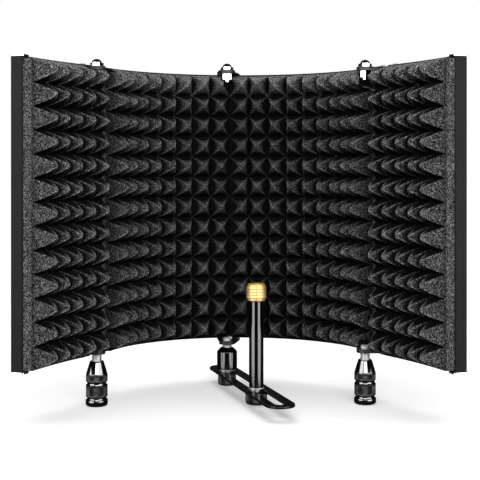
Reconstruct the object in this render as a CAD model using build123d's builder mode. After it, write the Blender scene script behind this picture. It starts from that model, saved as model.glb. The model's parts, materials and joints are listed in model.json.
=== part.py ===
"""Folding microphone isolation shield on three feet, millimetres, +Z up.

The plan origin is the axis of the centre hinge, at the floor. The shield opens towards -Y.
Four curved foam-faced panels hang on three upright hinges; each hinge ends in a foot, and the
centre foot clamps a slotted bracket that carries the microphone post.
"""

import os
from math import cos, degrees, radians, sin

from build123d import *

# ---- driving dimensions: foam and panels -------------------------------------------------
foam_height = 300.0  # thirteen rows of square pyramids
foam_bottom = 53.0  # height of the foam's lower edge above the floor
row_count = 13
column_pitch = 22.2
tooth_height = 22.0
foam_base = 10.2  # solid foam behind the valleys between the pyramids
inner_radius = 145.3  # plan radius of the two middle panels, at the valleys
wing_radius = 400.0  # plan radius of the two outer panels, at the valleys
seam_angle = 74.3  # turn from the back of the shield to a side seam
wing_kink = 21.2  # outward break of the curve at a side seam
side_gap = 6.8  # foam to foam at a side seam
centre_gap = 0.6
wing_columns = 5
shield_axis_x = 13.7  # mid-plane of the curve, from the centre hinge
valley_y = 10.0  # back-most valley, from the centre hinge

# ---- frame behind the foam ------------------------------------------------------------
frame_front = foam_base + 0.2
frame_back = 25.2
frame_lip = 2.5  # frame stands proud of the foam, top and bottom
rail_height = 6.0
stile_width = 10.0
stile_round = 2.5
side_inset = 5.0  # frame stops short of the foam at a side seam
centre_inset = 3.0
sheet_thickness = 1.2
sheet_recess = 1.0
sheet_lap = 2.5  # sheet edge held in the grooves of the frame
absorber_gap = 0.3
hole_pitch = 18.0
hole_radius = 4.0
cap_thickness = 1.6

# ---- hinges -----------------------------------------------------------------------------
left_axis = (-134.5, -107.1)
centre_axis = (0.0, 0.0)
right_axis = (146.2, -98.2)
ear_thickness = 1.8
ear_gap = 0.2
ear_radius = 9.0
ear_tail_radius = 4.6
side_ear_top = 353.6
side_ear_bottom = 54.0
outward_turn = 8.0  # an outer panel's turn away from rest, outwards
ear_room = 0.5  # foam to ear
swing_room = 0.6  # frame to the other panel's ear
ear_swing = 23.0  # radius the ears sweep over the foam
hardware_radius = 7.0  # foam is cut away this far round a hinge screw or stud
hardware_room = 4.0  # and this far past its end
screw_radius = 3.0
running = 0.05
cap_hex = 13.0
cap_hex_height = 3.2
dome_radius = 5.2
dome_angle = 58.0  # of the dome's side, up to its flat crown
dome_seat = 1.0  # the dome's inside closes the screw's bore here
under_hex = 10.0
under_height = 7.0
screw_tip = 3.5
stud_radius = 5.2
stud_top_above_ears = 3.6
thread_pitch = 2.1
thread_depth = 0.7
stud_chamfer = 0.5
ear_screw_radius = 2.0
ear_screw_head = 3.4
ear_screw_head_height = 1.8
ear_screw_length = 14.0

# ---- feet -------------------------------------------------------------------------------
foot_radius = 11.2
foot_base_radius = 11.6
foot_top_radius = 7.1
foot_height = 46.5
foot_cone_bottom = 33.0
groove_radius = 9.9
stud_in_foot = 12.0
centre_foot_radius = 11.4
centre_foot_top = 43.0
centre_shoulder = 38.5
centre_foot_bottom = 18.4
nut_radius = 10.3
nut_height = 14.3
nut_floor = 5.0

# ---- bracket and post ---------------------------------------------------------------------
bracket_turn = 17.1  # degrees to the right of straight forward
bracket_bottom = 14.5
bracket_thickness = 2.5
bracket_width = 30.0
slot_width = 11.0
bracket_rear = 18.0  # slot end centre behind the centre hinge
bracket_front = 183.0
washer_thickness = 1.2
post_distance = 108.2
post_radius = 7.6
post_bottom = 18.4
post_top = 108.7
post_bore = 4.0
spigot_depth = 22.0
spigot_stub = 6.2
knob_radius = 11.4
knob_bottom = 1.0
knob_top = 14.3
knob_screw_reach = 17.0  # into the post
adapter_top = 126.5
adapter_radius = 10.5
collar_radius = 9.0
mic_thread_radius = 4.76  # 3/8 inch microphone thread
mic_thread_length = 11.0

# ---- derived heights and centres --------------------------------------------------------
foam_top = foam_bottom + foam_height
row_pitch = foam_height / row_count
frame_bottom = foam_bottom - frame_lip
frame_top = foam_top + frame_lip
frame_height = frame_top - frame_bottom
ear_step = ear_thickness + ear_gap
centre_ear_top = frame_top + ear_step + ear_thickness
centre_ear_bottom = frame_bottom - ear_step - ear_thickness
bracket_top = bracket_bottom + bracket_thickness
inner_centre = (shield_axis_x, valley_y - inner_radius)
wing_start = seam_angle - wing_kink
wing_end = wing_start + degrees(column_pitch * wing_columns / wing_radius)
centre_seam = -degrees(column_pitch / 2 / inner_radius)

os.makedirs("parts", exist_ok=True)


def degrees_along(length, radius):
    """Angle at the centre of an arc of this length."""
    return degrees(length / radius)


def polar(centre, radius, angle):
    return (centre[0] + radius * cos(radians(angle)), centre[1] + radius * sin(radians(angle)))


def wing_centre(side):
    """Centre of an outer panel's arc; side is +1 on the right and -1 on the left."""
    seam_x = inner_radius * sin(radians(seam_angle)) + side_gap * cos(radians(wing_start))
    seam_y = inner_radius * (cos(radians(seam_angle)) - 1) - side_gap * sin(radians(wing_start))
    centre_x = seam_x - wing_radius * sin(radians(wing_start))
    centre_y = seam_y - wing_radius * cos(radians(wing_start))
    return (shield_axis_x + side * centre_x, valley_y + centre_y)


# A panel is a polar sector: centre, valley radius, the foam's two end angles (counter-clockwise),
# and how far the frame stops short of the foam at each of them.
panels = {
    "outer_left": (wing_centre(-1), wing_radius, 90 + wing_start, 90 + wing_end, side_inset, 0.0),
    "inner_left": (
        inner_centre,
        inner_radius,
        90 - centre_seam + degrees_along(centre_gap / 2, inner_radius),
        90 + seam_angle,
        centre_inset,
        side_inset,
    ),
    "inner_right": (
        inner_centre,
        inner_radius,
        90 - seam_angle,
        90 - centre_seam - degrees_along(centre_gap / 2, inner_radius),
        side_inset,
        centre_inset,
    ),
    "outer_right": (wing_centre(1), wing_radius, 90 - wing_end, 90 - wing_start, 0.0, side_inset),
}

# A hinge: axis, top of its upper ears, underside of its lower ears, fixed panel, moving panel,
# and which way the moving panel turns to fold inwards (+1 is counter-clockwise from above).
hinges = {
    "left": (left_axis, side_ear_top, side_ear_bottom, "inner_left", "outer_left", 1),
    "centre": (centre_axis, centre_ear_top, centre_ear_bottom, "inner_left", "inner_right", -1),
    "right": (right_axis, side_ear_top, side_ear_bottom, "inner_right", "outer_right", -1),
}


def save(part, name):
    part.label = name
    export_step(part, f"parts/{name}.step")


def sector(centre, r_in, r_out, start, end):
    """Face of an annular sector, added to the current sketch."""
    inside = CenterArc(centre, r_in, start, end - start, mode=Mode.PRIVATE)
    outside = CenterArc(centre, r_out, start, end - start, mode=Mode.PRIVATE)
    first = Line(inside @ 0, outside @ 0, mode=Mode.PRIVATE)
    last = Line(inside @ 1, outside @ 1, mode=Mode.PRIVATE)
    make_face([inside, outside, first, last])


def frame_angles(panel):
    """The frame's two end angles."""
    centre, radius, start, end, inset_start, inset_end = panels[panel]
    return start + degrees_along(inset_start, radius), end - degrees_along(inset_end, radius)


def stile_point(panel, at_end):
    """Plan centre of the upright at one end of a panel's frame."""
    centre, radius, *_ = panels[panel]
    start, end = frame_angles(panel)
    middle = radius + (frame_front + frame_back) / 2
    half = degrees_along(stile_width / 2, middle)
    return polar(centre, middle, end - half if at_end else start + half)


def nearest_stile(panel, axis):
    ends = [stile_point(panel, False), stile_point(panel, True)]
    return min(ends, key=lambda p: (p[0] - axis[0]) ** 2 + (p[1] - axis[1]) ** 2)


def panel_hinges(panel):
    return [hinge for hinge in hinges.values() if panel in hinge[3:5]]


def ear_levels(hinge, panel):
    """Undersides of a panel's two ears; the fixed panel's ear is the upper one of each pair."""
    axis, top, bottom, fixed, moving, inward = hinge
    if panel == fixed:
        return top - ear_thickness, bottom + ear_step
    return top - ear_thickness - ear_step, bottom


def ear_face(axis, anchor, grow=0.0):
    """Tapered strap outline from the hinge axis to the upright."""
    with Locations(axis):
        Circle(ear_radius + grow)
    with Locations(anchor):
        Circle(ear_tail_radius + grow)
    make_hull()


def make_foam(panel):
    centre, radius, start, end, *_ = panels[panel]
    half_row = row_pitch / 2
    radial = Plane(
        origin=(centre[0], centre[1], 0),
        x_dir=(cos(radians(start)), sin(radians(start)), 0),
        z_dir=(sin(radians(start)), -cos(radians(start)), 0),
    )
    half_column = degrees_along(column_pitch / 2, radius)
    with BuildPart() as foam:
        with BuildSketch(radial):
            with BuildLine():
                Polyline(
                    (radius + foam_base, foam_bottom),
                    (radius + foam_base, foam_top),
                    (radius, foam_top),
                    (radius - tooth_height, foam_top - half_row),
                    (radius - tooth_height, foam_bottom + half_row),
                    (radius, foam_bottom),
                    close=True,
                )
            make_face()
        revolve(axis=Axis((centre[0], centre[1], 0), (0, 0, 1)), revolution_arc=end - start)
        # the outer flank of the last pyramid at each end
        with BuildSketch():
            for edge, way in ((start, 1), (end, -1)):
                with BuildLine():
                    Polyline(
                        polar(centre, radius, edge),
                        polar(centre, radius - tooth_height, edge + way * half_column),
                        polar(centre, radius - 1.3 * tooth_height, edge + way * 1.3 * half_column),
                        polar(centre, radius - 1.3 * tooth_height, edge - way * half_column),
                        polar(centre, radius, edge - way * half_column),
                        close=True,
                    )
                make_face()
        extrude(amount=foam_top + 10, mode=Mode.SUBTRACT)
        for hinge in panel_hinges(panel):
            axis, top, bottom, *_ = hinge
            # clearance round the hinge screw and the foot stud
            upper_end = top - 2 * ear_step - under_height - screw_tip - hardware_room
            lower_end = bottom + 2 * ear_thickness + stud_top_above_ears + hardware_room
            for level, amount in ((upper_end, foam_top), (lower_end, -foam_top)):
                with BuildSketch(Plane.XY.offset(level)):
                    with Locations(axis):
                        Circle(hardware_radius)
                extrude(amount=amount, mode=Mode.SUBTRACT)
            if top - 2 * ear_thickness < foam_top:
                # steps for both panels' ears, above and below
                steps = ((top - 2 * ear_step, foam_top), (bottom + 2 * ear_step, -foam_top))
                for level, amount in steps:
                    with BuildSketch(Plane.XY.offset(level)):
                        with Locations(axis):
                            Circle(ear_swing)
                        ear_face(axis, nearest_stile(panel, axis), ear_room)
                    extrude(amount=amount, mode=Mode.SUBTRACT)
    save(foam.part, f"{panel}_foam")


def make_absorber(panel):
    centre, radius, *_ = panels[panel]
    start, end = frame_angles(panel)
    inside = degrees_along(stile_width + absorber_gap, radius + frame_front)
    back = radius + frame_back - sheet_recess - sheet_thickness - absorber_gap
    with BuildPart() as absorber:
        with BuildSketch(Plane.XY.offset(frame_bottom + rail_height + absorber_gap)):
            sector(centre, radius + frame_front, back, start + inside, end - inside)
        extrude(amount=frame_height - 2 * (rail_height + absorber_gap))
    save(absorber.part, f"{panel}_absorber")


def make_rails(panel):
    centre, radius, *_ = panels[panel]
    start, end = frame_angles(panel)
    inside = degrees_along(stile_width, radius + frame_back)
    with BuildPart() as rails:
        for level in (frame_bottom, frame_top - rail_height):
            with BuildSketch(Plane.XY.offset(level)):
                sector(centre, radius + frame_front, radius + frame_back, start + inside, end - inside)
            extrude(amount=rail_height)
        cut_sheet_groove(panel)
        cut_ear_slots(panel)
    save(rails.part, f"{panel}_rails")


def cut_sheet_groove(panel):
    """Groove for the back sheet's edge, in the part being built."""
    centre, radius, *_ = panels[panel]
    outside = radius + frame_back - sheet_recess
    start, end = frame_angles(panel)
    inside = degrees_along(stile_width - sheet_lap, outside)
    with BuildSketch(Plane.XY.offset(frame_bottom + rail_height - sheet_lap)) as groove:
        sector(centre, outside - sheet_thickness - 0.05, outside + 0.05, start + inside, end - inside)
    depth = frame_height - 2 * (rail_height - sheet_lap)
    extrude(groove.sketch, amount=depth, mode=Mode.SUBTRACT)


def cut_ear_slots(panel):
    """Slots for the ears that lie inside the frame's height, in the part being built.

    The panel's own ears fit their slots; the other panel's ears get room to turn outwards.
    """
    for hinge in panel_hinges(panel):
        axis, top, bottom, fixed, moving, inward = hinge
        other = moving if panel == fixed else fixed
        turn = outward_turn * inward * (-1 if panel == fixed else 1)
        cuts = [(panel, 0.0, running)]
        cuts += [(other, share * turn, swing_room) for share in (0.0, 0.5, 1.0)]
        for owner, angle, grow in cuts:
            anchor = turned_about(axis, nearest_stile(owner, axis), angle)
            for level in ear_levels(hinge, owner):
                if frame_bottom < level < frame_top - ear_thickness:
                    with BuildSketch(Plane.XY.offset(level - min(grow, ear_gap))) as slot:
                        ear_face(axis, anchor, grow)
                    depth = ear_thickness + 2 * min(grow, ear_gap)
                    extrude(slot.sketch, amount=depth, mode=Mode.SUBTRACT)


def turned_about(axis, point, angle):
    """A plan point turned about an axis, counter-clockwise from above."""
    x, y = point[0] - axis[0], point[1] - axis[1]
    turn_cos, turn_sin = cos(radians(angle)), sin(radians(angle))
    return (axis[0] + x * turn_cos - y * turn_sin, axis[1] + x * turn_sin + y * turn_cos)


def make_stiles(panel):
    centre, radius, *_ = panels[panel]
    start, end = frame_angles(panel)
    inside = degrees_along(stile_width, radius + frame_back)
    with BuildPart() as stiles:
        with BuildSketch(Plane.XY.offset(frame_bottom)):
            sector(centre, radius + frame_front, radius + frame_back, start, start + inside)
            sector(centre, radius + frame_front, radius + frame_back, end - inside, end)
        extrude(amount=frame_height)
        uprights = stiles.edges().filter_by(Axis.Z)
        by_angle = uprights.sort_by(lambda e: plan_angle(centre, e))
        fillet(by_angle[:2] + by_angle[-2:], stile_round)
        cut_sheet_groove(panel)
        cut_ear_slots(panel)
        for hinge in panel_hinges(panel):
            with BuildSketch(Plane.XY.offset(frame_top)):
                with Locations(nearest_stile(panel, hinge[0])):
                    Circle(ear_screw_radius + running)
            extrude(amount=-frame_height, mode=Mode.SUBTRACT)
    save(stiles.part, f"{panel}_stiles")


def plan_angle(centre, edge):
    """Polar angle of an upright edge about a panel's centre, counted from -90 degrees."""
    middle = edge.center()
    direction = Vector(middle.X - centre[0], middle.Y - centre[1], 0)
    return Vector(0, -1, 0).get_signed_angle(direction, Vector(0, 0, 1)) % 360


def make_back_sheet(panel):
    centre, radius, *_ = panels[panel]
    outside = radius + frame_back - sheet_recess
    start, end = frame_angles(panel)
    edge = degrees_along(stile_width - sheet_lap + 0.1, outside)
    bottom = frame_bottom + rail_height - sheet_lap + 0.1
    height = frame_height - 2 * (rail_height - sheet_lap + 0.1)
    open_arc = radians(end - start) * outside - 2 * stile_width
    columns = int((open_arc - 2 * hole_radius) / hole_pitch)
    rows = int((frame_height - 2 * rail_height - 2 * hole_radius) / hole_pitch)
    step = degrees_along(hole_pitch, outside)
    places = []
    for i in range(columns):
        angle = (start + end) / 2 + (i - (columns - 1) / 2) * step
        x, y = polar(centre, outside, angle)
        for j in range(rows):
            z = frame_bottom + frame_height / 2 + (j - (rows - 1) / 2) * hole_pitch
            outward = (cos(radians(angle)), sin(radians(angle)), 0)
            places.append(Plane(origin=(x, y, z), z_dir=outward).location)
    with BuildPart() as sheet:
        with BuildSketch(Plane.XY.offset(bottom)):
            sector(centre, outside - sheet_thickness, outside, start + edge, end - edge)
        extrude(amount=height)
        with Locations(*places):
            Cylinder(hole_radius, 4 * sheet_thickness, mode=Mode.SUBTRACT)
    save(sheet.part, f"{panel}_back_sheet")


def make_ears(panel):
    """Steel straps from the uprights' ends to the hinge axes, with a pad where they stand off."""
    with BuildPart() as ears:
        for hinge in panel_hinges(panel):
            anchor = nearest_stile(panel, hinge[0])
            upper, lower = ear_levels(hinge, panel)
            for level, bore in ((upper, screw_radius), (lower, stud_radius)):
                with BuildSketch(Plane.XY.offset(level)):
                    ear_face(hinge[0], anchor)
                    with Locations(hinge[0]):
                        Circle(bore + running, mode=Mode.SUBTRACT)
                    with Locations(anchor):
                        Circle(ear_screw_radius + running, mode=Mode.SUBTRACT)
                extrude(amount=ear_thickness)
            stand_offs = [
                (frame_top, upper - frame_top),
                (lower + ear_thickness, frame_bottom - lower - ear_thickness),
            ]
            for level, thickness in stand_offs:
                if thickness > ear_gap:
                    with BuildSketch(Plane.XY.offset(level)):
                        with Locations(anchor):
                            Circle(ear_tail_radius)
                            Circle(ear_screw_radius + running, mode=Mode.SUBTRACT)
                    extrude(amount=thickness)
    save(ears.part, f"{panel}_ears")


def make_ear_screws(panel):
    """Button-head screws down through each upright's end and the ear's tail."""
    with BuildPart() as screws:
        for hinge in panel_hinges(panel):
            anchor = nearest_stile(panel, hinge[0])
            upper, lower = ear_levels(hinge, panel)
            above = max(frame_top, upper + ear_thickness)
            below = min(frame_bottom, lower)
            for seat, way in ((above, 1), (below, -1)):
                with BuildSketch(Plane.XY.offset(seat)):
                    with Locations(anchor):
                        Circle(ear_screw_head)
                extrude(amount=way * ear_screw_head_height, taper=30)
                with BuildSketch(Plane.XY.offset(seat)):
                    with Locations(anchor):
                        Circle(ear_screw_radius)
                extrude(amount=-way * ear_screw_length)
    save(screws.part, f"{panel}_ear_screws")


def make_end_caps(panel):
    """Thin polished plates on the two ends of an outer upright."""
    centre, radius, *_ = panels[panel]
    start, end = frame_angles(panel)
    grow = 0.6
    wide = degrees_along(stile_width + grow, radius + frame_back)
    over = degrees_along(grow, radius)
    low, high = (end - wide, end + over) if panel == "outer_left" else (start - over, start + wide)
    with BuildPart() as caps:
        with BuildSketch(Plane.XY.offset(frame_top), Plane.XY.offset(frame_bottom - cap_thickness)):
            sector(centre, radius + frame_front - grow, radius + frame_back + grow, low, high)
        extrude(amount=cap_thickness)
        fillet(caps.edges().filter_by(Axis.Z), 2.0)
    save(caps.part, f"{panel}_end_caps")


def make_hinge_hardware(name, hinge):
    axis, top, bottom, *_ = hinge
    with BuildPart() as cap_nut:
        with BuildSketch(Plane.XY.offset(top)):
            with Locations(axis):
                RegularPolygon(cap_hex / 2, 6, major_radius=False)
                Circle(screw_radius + running, mode=Mode.SUBTRACT)
        extrude(amount=cap_hex_height)
        dome_plane = Plane(
            origin=(axis[0], axis[1], top + cap_hex_height), x_dir=(1, 0, 0), z_dir=(0, -1, 0)
        )
        with BuildSketch(dome_plane) as dome:
            with BuildLine():
                crown = CenterArc((0, 0), dome_radius, 0, dome_angle)
                Polyline(crown @ 1, (0, (crown @ 1).Y), (0, dome_seat), (screw_radius + running, dome_seat))
                Polyline((screw_radius + running, dome_seat), (screw_radius + running, 0), crown @ 0)
            make_face()
        revolve(dome.sketch, axis=Axis((axis[0], axis[1], 0), (0, 0, 1)))
    save(cap_nut.part, f"{name}_cap_nut")

    under_top = top - 2 * ear_step
    with BuildPart() as screw:
        with BuildSketch(Plane.XY.offset(under_top - under_height - screw_tip)):
            with Locations(axis):
                Circle(screw_radius)
        extrude(amount=2 * ear_step + under_height + screw_tip + cap_hex_height)
        chamfer(screw.edges().sort_by(Axis.Z)[0], 1.0)
    save(screw.part, f"{name}_hinge_screw")

    with BuildPart() as under_nut:
        with BuildSketch(Plane.XY.offset(under_top - under_height)):
            with Locations(axis):
                RegularPolygon(under_hex / 2, 6, major_radius=False)
                Circle(screw_radius + running, mode=Mode.SUBTRACT)
        extrude(amount=under_height)
    save(under_nut.part, f"{name}_under_nut")


def make_foot_stud(name, axis, low, high):
    """Coarse-threaded stud, its thread drawn as rings."""
    turns = int((high - low - 1.0) / thread_pitch)
    with BuildPart() as stud:
        with BuildSketch(Plane.XY.offset(low)):
            with Locations(axis):
                Circle(stud_radius)
        extrude(amount=high - low)
        chamfer(stud.edges().filter_by(GeomType.CIRCLE), stud_chamfer)
        for i in range(turns):
            with BuildSketch(Plane.XY.offset(low + thread_pitch * (i + 0.7))):
                with Locations(axis):
                    Circle(stud_radius + 1)
                    Circle(stud_radius - thread_depth, mode=Mode.SUBTRACT)
            extrude(amount=thread_pitch * 0.35, mode=Mode.SUBTRACT)
    save(stud.part, f"{name}_foot_stud")


def turned(axis, outline):
    """Revolve an outline of (radius, height) points about an upright axis, in the current part."""
    upright = Plane(origin=(axis[0], axis[1], 0), x_dir=(1, 0, 0), z_dir=(0, -1, 0))
    with BuildSketch(upright) as section:
        with BuildLine():
            Polyline(*outline, close=True)
        make_face()
    revolve(section.sketch, axis=Axis((axis[0], axis[1], 0), (0, 0, 1)))


def make_side_foot(name, axis):
    """Bottle-shaped foot: shoulder cone, two gripping bands between grooves, rounded base."""
    bore = stud_radius + running
    with BuildPart() as foot:
        turned(
            axis,
            [
                (0, 0),
                (foot_base_radius - 3.0, 0),
                (foot_base_radius - 0.8, 1.8),
                (foot_base_radius, 4.0),
                (foot_base_radius - 0.4, 6.6),
                (groove_radius, 7.2),
                (groove_radius, 9.4),
                (foot_radius, 10.2),
                (foot_radius, 21.5),
                (groove_radius, 22.2),
                (groove_radius, 25.2),
                (foot_radius, 26.0),
                (foot_radius, foot_cone_bottom),
                (foot_radius - 0.8, foot_cone_bottom + 3.5),
                (foot_top_radius, foot_height),
                (bore, foot_height),
                (bore, foot_height - stud_in_foot),
                (0, foot_height - stud_in_foot),
            ],
        )
    save(foot.part, f"{name}_foot")


def make_centre_foot():
    bore = stud_radius + running
    with BuildPart() as foot:
        turned(
            centre_axis,
            [
                (bore, centre_foot_bottom),
                (centre_foot_radius - 0.6, centre_foot_bottom),
                (centre_foot_radius, centre_foot_bottom + 0.6),
                (centre_foot_radius, centre_shoulder),
                (foot_top_radius, centre_foot_top),
                (bore, centre_foot_top),
            ],
        )
    save(foot.part, "centre_foot")


def make_bracket_nut():
    """Knurled nut under the bracket; it is also the centre foot's base."""
    bore = stud_radius + running
    with BuildPart() as nut:
        turned(
            centre_axis,
            [
                (0, 0),
                (nut_radius - 2.4, 0),
                (nut_radius - 0.6, 1.4),
                (nut_radius, 3.4),
                (nut_radius, nut_height - 0.8),
                (nut_radius - 0.8, nut_height),
                (bore, nut_height),
                (bore, nut_floor),
                (0, nut_floor),
            ],
        )
    save(nut.part, "bracket_nut")


bracket_way = (sin(radians(bracket_turn)), -cos(radians(bracket_turn)))
bracket_plane = Plane(
    origin=(0, 0, bracket_bottom), x_dir=(bracket_way[0], bracket_way[1], 0), z_dir=(0, 0, 1)
)
post_axis = (post_distance * bracket_way[0], post_distance * bracket_way[1])


def make_bracket():
    middle = (bracket_front - bracket_rear) / 2
    length = bracket_front + bracket_rear
    with BuildPart() as bracket:
        with BuildSketch(bracket_plane):
            with Locations((middle, 0)):
                SlotCenterToCenter(length, bracket_width)
                SlotCenterToCenter(length, slot_width, mode=Mode.SUBTRACT)
        extrude(amount=bracket_thickness)
        fillet(bracket.edges().group_by(Axis.Z)[-1], 0.5)
    save(bracket.part, "slotted_bracket")


def make_washer(name, axis, level, radius, bore):
    with BuildPart() as washer:
        with BuildSketch(Plane.XY.offset(level)):
            with Locations(axis):
                Circle(radius)
                Circle(bore, mode=Mode.SUBTRACT)
        extrude(amount=washer_thickness)
    save(washer.part, name)


def make_post():
    """Microphone post: a plain tube."""
    with BuildPart() as post:
        turned(
            post_axis,
            [
                (post_bore, post_bottom),
                (post_radius - 0.5, post_bottom),
                (post_radius, post_bottom + 0.5),
                (post_radius, post_top - 0.6),
                (post_radius - 0.6, post_top),
                (post_bore, post_top),
            ],
        )
    save(post.part, "mic_post")


def make_post_plug():
    """Plug in the post's upper end; its stub carries the adapter."""
    with BuildPart() as plug:
        turned(
            post_axis,
            [
                (0, post_top - spigot_depth),
                (post_bore, post_top - spigot_depth),
                (post_bore, post_top + spigot_stub),
                (0, post_top + spigot_stub),
            ],
        )
    save(plug.part, "post_spigot")


def make_knob():
    with BuildPart() as knob:
        turned(
            post_axis,
            [
                (post_bore, knob_bottom),
                (knob_radius - 2.6, knob_bottom),
                (knob_radius - 0.7, knob_bottom + 1.6),
                (knob_radius, knob_bottom + 3.8),
                (knob_radius, knob_top - 2.0),
                (knob_radius - 1.0, knob_top - 0.5),
                (knob_radius - 2.2, knob_top),
                (post_bore, knob_top),
            ],
        )
    save(knob.part, "clamp_knob")
    tip = post_bottom + knob_screw_reach
    with BuildPart() as knob_screw:
        turned(
            post_axis,
            [
                (0, knob_bottom + 1.0),
                (post_bore, knob_bottom + 1.0),
                (post_bore, knob_top),
                (post_bore - running, knob_top),
                (post_bore - running, tip - 1.0),
                (post_bore - running - 1.0, tip),
                (0, tip),
            ],
        )
    save(knob_screw.part, "knob_screw")


def make_adapter():
    """Brass thread adapter: smooth collars, ridged grip, internal microphone thread."""
    low = post_top + 0.3
    ridge_pitch = 3.0
    ridge_depth = 0.8
    outline = [(post_bore + running, low), (collar_radius - 0.5, low), (collar_radius, low + 0.5)]
    outline += [(collar_radius, low + 2.6)]
    for i in range(4):
        base = low + 2.8 + i * ridge_pitch
        outline += [
            (adapter_radius - ridge_depth, base),
            (adapter_radius, base + 0.6),
            (adapter_radius, base + ridge_pitch - 0.8),
            (adapter_radius - ridge_depth, base + ridge_pitch - 0.2),
        ]
    top_collar = low + 2.8 + 4 * ridge_pitch
    outline += [(collar_radius, top_collar), (collar_radius, adapter_top - 0.5)]
    outline += [(collar_radius - 0.5, adapter_top), (mic_thread_radius, adapter_top)]
    outline += [(mic_thread_radius, adapter_top - mic_thread_length)]
    outline += [(post_bore + running, adapter_top - mic_thread_length)]
    with BuildPart() as adapter:
        turned(post_axis, outline)
    save(adapter.part, "thread_adapter")


for panel_name in panels:
    make_foam(panel_name)
    make_absorber(panel_name)
    make_rails(panel_name)
    make_stiles(panel_name)
    make_back_sheet(panel_name)
    make_ears(panel_name)
    make_ear_screws(panel_name)
for panel_name in ("outer_left", "outer_right"):
    make_end_caps(panel_name)
for hinge_name, hinge_data in hinges.items():
    make_hinge_hardware(hinge_name, hinge_data)
side_stud_top = side_ear_bottom + 2 * ear_thickness + ear_gap + stud_top_above_ears
centre_stud_top = centre_ear_bottom + 2 * ear_thickness + ear_gap + stud_top_above_ears
side_stud_foot = foot_height - stud_in_foot + stud_chamfer
make_foot_stud("left", left_axis, side_stud_foot, side_stud_top)
make_foot_stud("right", right_axis, side_stud_foot, side_stud_top)
make_foot_stud("centre", centre_axis, nut_floor + stud_chamfer, centre_stud_top)
make_side_foot("left", left_axis)
make_side_foot("right", right_axis)
make_centre_foot()
make_bracket_nut()
make_bracket()
make_washer("bracket_washer", centre_axis, bracket_top + 0.1, 9.6, stud_radius + running)
make_washer("post_washer", post_axis, bracket_top + 0.2, 7.9, post_bore + 0.3)
make_post()
make_post_plug()
make_knob()
make_adapter()
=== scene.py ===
"""Looks of the folding microphone isolation shield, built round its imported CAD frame. Metres, +Z up."""

import json
import math

import bmesh
import bpy
import numpy as np
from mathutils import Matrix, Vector, noise


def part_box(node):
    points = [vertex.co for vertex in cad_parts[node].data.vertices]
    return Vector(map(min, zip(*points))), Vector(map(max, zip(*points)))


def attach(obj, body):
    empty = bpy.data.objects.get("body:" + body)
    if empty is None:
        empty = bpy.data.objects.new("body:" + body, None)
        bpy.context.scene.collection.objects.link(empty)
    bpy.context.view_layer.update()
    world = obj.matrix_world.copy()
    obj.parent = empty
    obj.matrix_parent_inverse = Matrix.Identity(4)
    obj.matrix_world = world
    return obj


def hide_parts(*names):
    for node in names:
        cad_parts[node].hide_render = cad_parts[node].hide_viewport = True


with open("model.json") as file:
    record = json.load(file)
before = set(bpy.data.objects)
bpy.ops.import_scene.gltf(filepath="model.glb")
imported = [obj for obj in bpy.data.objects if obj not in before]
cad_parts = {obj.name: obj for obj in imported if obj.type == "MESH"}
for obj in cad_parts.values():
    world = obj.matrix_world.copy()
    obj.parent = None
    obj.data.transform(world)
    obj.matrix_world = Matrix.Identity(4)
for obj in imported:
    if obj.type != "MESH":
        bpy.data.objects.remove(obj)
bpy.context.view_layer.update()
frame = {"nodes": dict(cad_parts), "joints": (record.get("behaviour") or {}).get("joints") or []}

MM = 0.001
PANELS = ("outer_left", "inner_left", "inner_right", "outer_right")
JOINTS = {joint["name"]: joint for joint in frame["joints"]}

# ---- plan of the panels, from the same driving dimensions as the CAD -----------------------------
ROWS = 13
COLUMN_PITCH = 22.2 * MM
TOOTH_HEIGHT = 22.0 * MM
FOAM_BASE = 10.2 * MM
INNER_RADIUS = 145.3 * MM
WING_RADIUS = 400.0 * MM
SEAM_ANGLE = math.radians(74.3)
WING_KINK = math.radians(21.2)
SIDE_GAP = 6.8 * MM
CENTRE_GAP = 0.6 * MM
WING_COLUMNS = 5
SHIELD_AXIS_X = 13.7 * MM
VALLEY_Y = 10.0 * MM
UP = math.pi / 2  # the turn, seen from above, from +x to the back of the shield
HARDWARE_RADIUS = 7.0 * MM  # foam is cut away this far round a hinge screw or stud
EAR_SWING = 23.0 * MM  # radius the ears sweep over the foam

foam_low, foam_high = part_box("inner_left_foam")
FOAM_BOTTOM, FOAM_TOP = foam_low.z, foam_high.z
ROW_PITCH = (FOAM_TOP - FOAM_BOTTOM) / ROWS

LEFT_AXIS = JOINTS["left_hinge"]["pos_m"][:2]
CENTRE_AXIS = JOINTS["centre_hinge"]["pos_m"][:2]
RIGHT_AXIS = JOINTS["right_hinge"]["pos_m"][:2]
POST_AXIS = JOINTS["adapter_turn"]["pos_m"][:2]


def wing_arc(side):
    """Centre of an outer panel's arc and its first and last turn from the back of the shield."""
    start = SEAM_ANGLE - WING_KINK
    end = start + COLUMN_PITCH * WING_COLUMNS / WING_RADIUS
    seam_x = INNER_RADIUS * math.sin(SEAM_ANGLE) + SIDE_GAP * math.cos(start)
    seam_y = INNER_RADIUS * (math.cos(SEAM_ANGLE) - 1) - SIDE_GAP * math.sin(start)
    x = SHIELD_AXIS_X + side * (seam_x - WING_RADIUS * math.sin(start))
    y = VALLEY_Y + seam_y - WING_RADIUS * math.cos(start)
    return (x, y), start, end


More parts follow.
